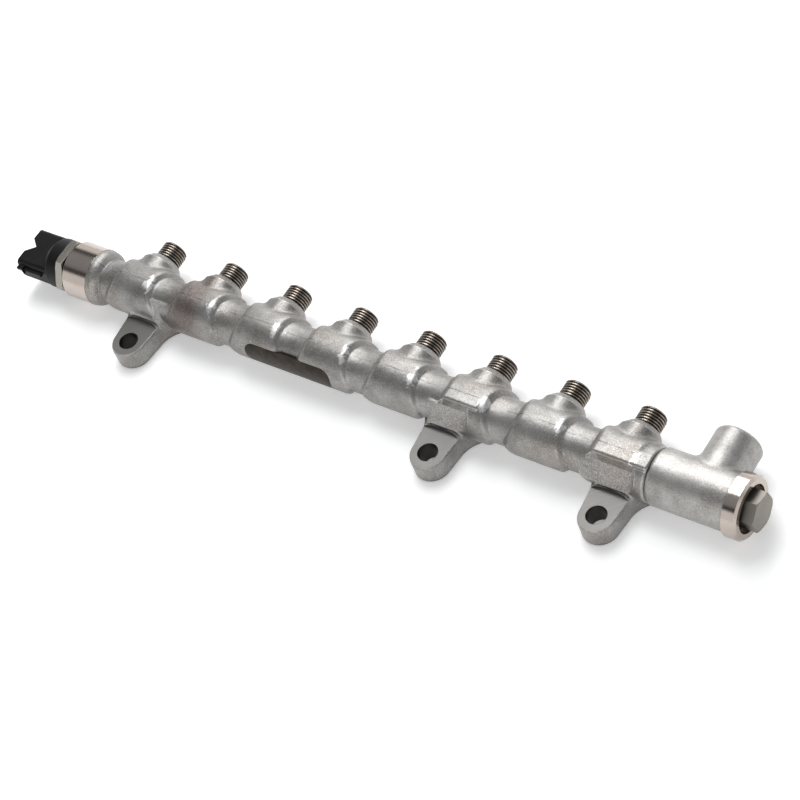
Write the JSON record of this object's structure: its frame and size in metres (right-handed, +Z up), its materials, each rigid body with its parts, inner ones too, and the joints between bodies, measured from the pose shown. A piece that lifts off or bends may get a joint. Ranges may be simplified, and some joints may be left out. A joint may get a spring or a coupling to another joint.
{
  "type": "fuel rail",
  "caption": "High-pressure fuel rail: a forged steel tube with threaded nozzles, three bolt-down lugs, a pressure sensor at one end and a relief valve at the other.",
  "frame": {"origin": "axis of the centre lug's hole, on the mounting plane under the lugs", "axes": "+X along the rail from the pressure sensor to the relief valve, +Y the way the nozzles point, +Z up along the lug holes, away from the mounting plane"},
  "size_m": [0.4457, 0.0694, 0.0319],
  "materials": {
    "forged_steel": "shot-blasted forging",
    "sensor_steel": "turned",
    "cell_steel": "turned",
    "carrier_plastic": "moulded",
    "board_laminate": "solder resist",
    "chip_epoxy": "moulded",
    "black_plastic": "moulded",
    "seal_rubber": "matt",
    "valve_steel": "turned",
    "hardened_steel": "ground",
    "spring_steel": "drawn wire",
    "tinned_bronze": "tinned"
  },
  "bodies": {
    "rail": {"rail_body": "forged_steel", "sensor_body": "sensor_steel", "sensor_cell": "cell_steel", "carrier_ring": "carrier_plastic", "circuit_board": "board_laminate", "signal_chip": "chip_epoxy", "sensor_housing": "black_plastic", "sensor_o_ring": "seal_rubber", "valve_body": "valve_steel", "valve_seat": "hardened_steel", "valve_spring": "spring_steel", "spring_shim": "hardened_steel", "valve_o_ring": "seal_rubber", "terminal_1": "tinned_bronze", "contact_spring_1": "tinned_bronze", "terminal_2": "tinned_bronze", "contact_spring_2": "tinned_bronze", "terminal_3": "tinned_bronze", "contact_spring_3": "tinned_bronze"},
    "relief_cone": {"valve_cone": "hardened_steel"}
  },
  "joints": [
    {"name": "relief_valve_lift", "type": "slide", "parent": "rail", "child": "relief_cone", "axis": [1, 0, 0], "range_m": [0, 0.0008], "stiffness_N_per_m": 2000, "springref_m": -0.0005, "deforming": ["valve_spring"]}
  ]
}
